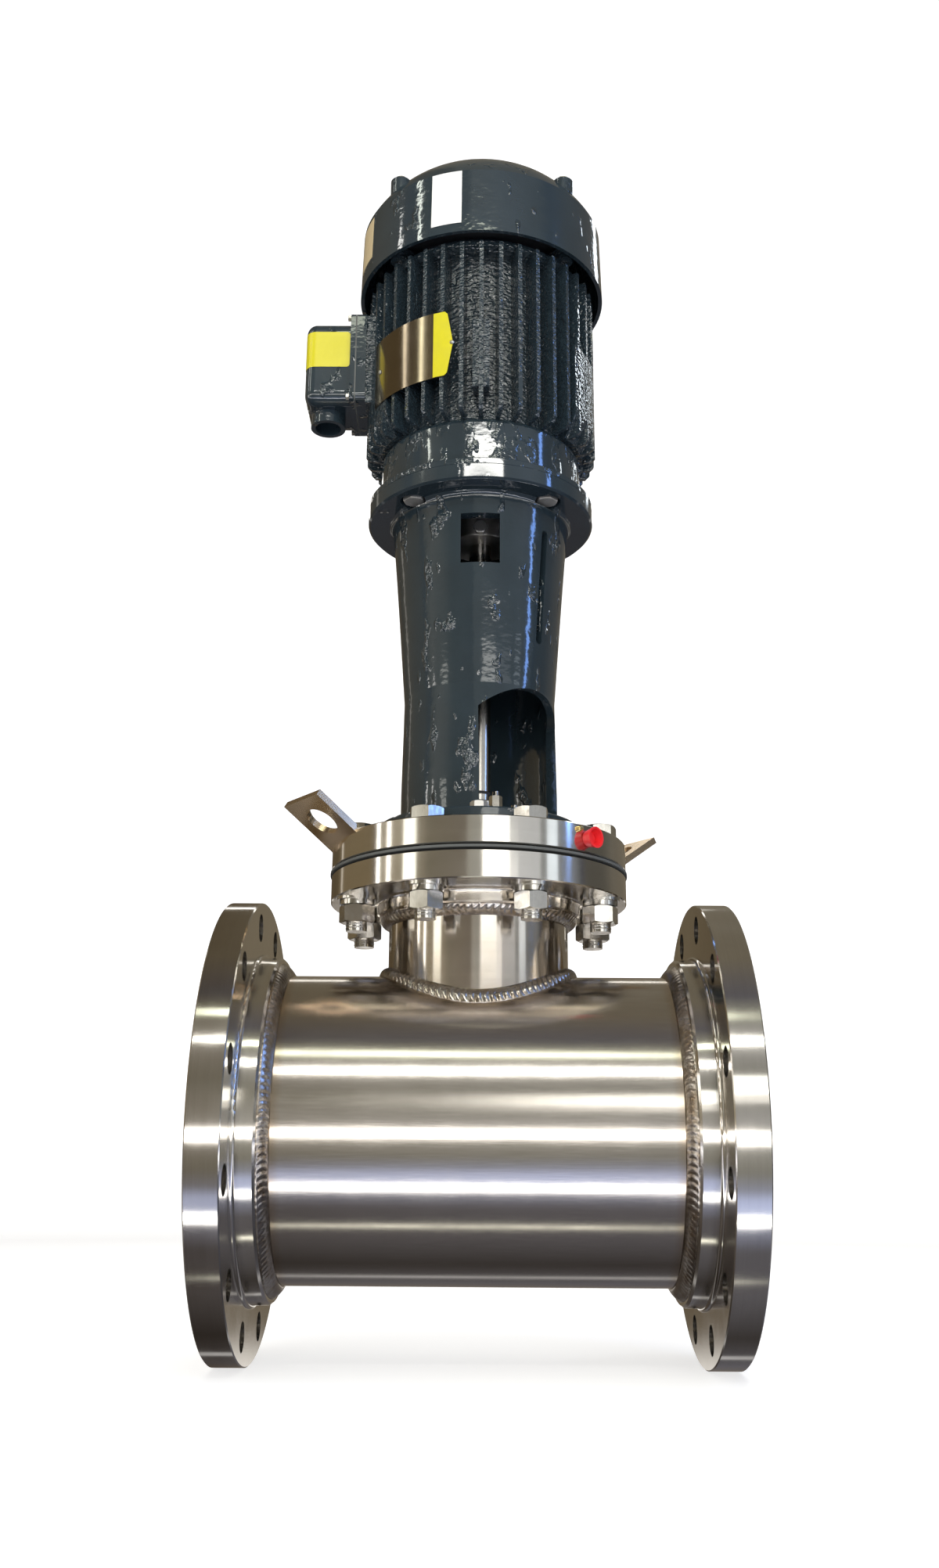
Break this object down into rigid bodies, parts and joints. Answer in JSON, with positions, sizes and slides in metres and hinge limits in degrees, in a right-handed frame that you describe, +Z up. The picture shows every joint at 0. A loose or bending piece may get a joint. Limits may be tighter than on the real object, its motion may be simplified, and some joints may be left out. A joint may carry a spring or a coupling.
{
  "type": "inline mixer",
  "caption": "Flanged stainless pipe run with a vertical motor, cast pedestal and pitched-blade impellers that stir the flow inside.",
  "frame": {"origin": "centre of the inlet flange's raised face, on the run's centreline", "axes": "+X along the run from inlet to outlet, +Z up along the shaft towards the motor, +Y away from the viewer"},
  "size_m": [0.4572, 0.4064, 1.2018],
  "materials": {
    "forged_stainless": "machined, rolled rim",
    "run_stainless": "polished along the pipe",
    "weld_metal": "rippled, heat tinted",
    "mounting_steel": "machined",
    "bright_fasteners": "bright rolled",
    "gasket_fibre": "matt",
    "red_plastic": "moulded",
    "brass": "turned",
    "seal_carbon": "lapped",
    "seal_rubber": "matt",
    "small_fasteners": "plain",
    "cast_paint": "glossy over a cast skin",
    "motor_paint": "glossy",
    "cover_paint": "glossy",
    "box_paint": "glossy",
    "painted_screws": "painted over",
    "laminated_steel": "stacked sheet",
    "winding": "varnished",
    "bearing_steel": "ground",
    "shaft_steel": "ground",
    "sleeve_steel": "turned",
    "impeller_steel": "cast and polished",
    "fan_plastic": "moulded",
    "plate_steel": "bright",
    "yellow_label": "printed film, bare",
    "white_label": "printed film, bare",
    "beige_label": "printed film, bare"
  },
  "bodies": {
    "housing": {"inlet_flange": "forged_stainless", "outlet_flange": "forged_stainless", "run_pipe": "run_stainless", "run_flange_welds": "weld_metal", "branch_nozzle": "run_stainless", "saddle_weld": "weld_metal", "branch_flange": "forged_stainless", "nozzle_flange_welds": "weld_metal", "flange_gasket": "gasket_fibre", "mounting_flange": "mounting_steel", "lifting_lugs": "mounting_steel", "flange_bolts": "bright_fasteners", "flat_washers": "bright_fasteners", "lock_washers": "bright_fasteners", "flange_nuts": "bright_fasteners", "flush_plug": "red_plastic", "vent_screw": "brass", "seal_gland": "mounting_steel", "seal_seat": "seal_carbon", "gland_studs": "small_fasteners", "gland_nuts": "small_fasteners", "pedestal": "cast_paint", "base_screws": "small_fasteners", "motor_bolts": "painted_screws", "drive_end_bracket": "motor_paint", "motor_frame": "motor_paint", "stator_core": "laminated_steel", "stator_windings": "winding", "drive_bearing_outer": "bearing_steel", "fan_bearing_outer": "bearing_steel", "fan_end_bracket": "motor_paint", "fan_cover": "cover_paint", "cover_screws": "painted_screws", "conduit_base": "motor_paint", "conduit_gasket": "gasket_fibre", "conduit_box": "box_paint", "conduit_screws": "painted_screws", "nameplate": "plate_steel", "nameplate_label": "yellow_label", "nameplate_rivets": "plate_steel", "cover_label": "white_label", "side_sticker": "beige_label", "box_label": "yellow_label"},
    "rotor": {"motor_shaft": "shaft_steel", "drive_bearing_inner": "bearing_steel", "fan_bearing_inner": "bearing_steel", "seal_face": "seal_carbon", "seal_bellows": "seal_rubber", "drive_collar": "shaft_steel", "rotor_core": "laminated_steel", "cooling_fan": "fan_plastic", "coupling_sleeve": "sleeve_steel", "coupling_key": "small_fasteners", "coupling_screws": "small_fasteners", "mixer_shaft": "shaft_steel", "wiper_ring": "seal_rubber", "lower_impeller": "impeller_steel", "upper_impeller": "impeller_steel", "impeller_screws": "small_fasteners"}
  },
  "joints": [
    {"name": "shaft_spin", "type": "hinge", "parent": "housing", "child": "rotor", "pos_m": [0.2286, 0, 0], "axis": [0, 0, 1], "continuous": true}
  ]
}
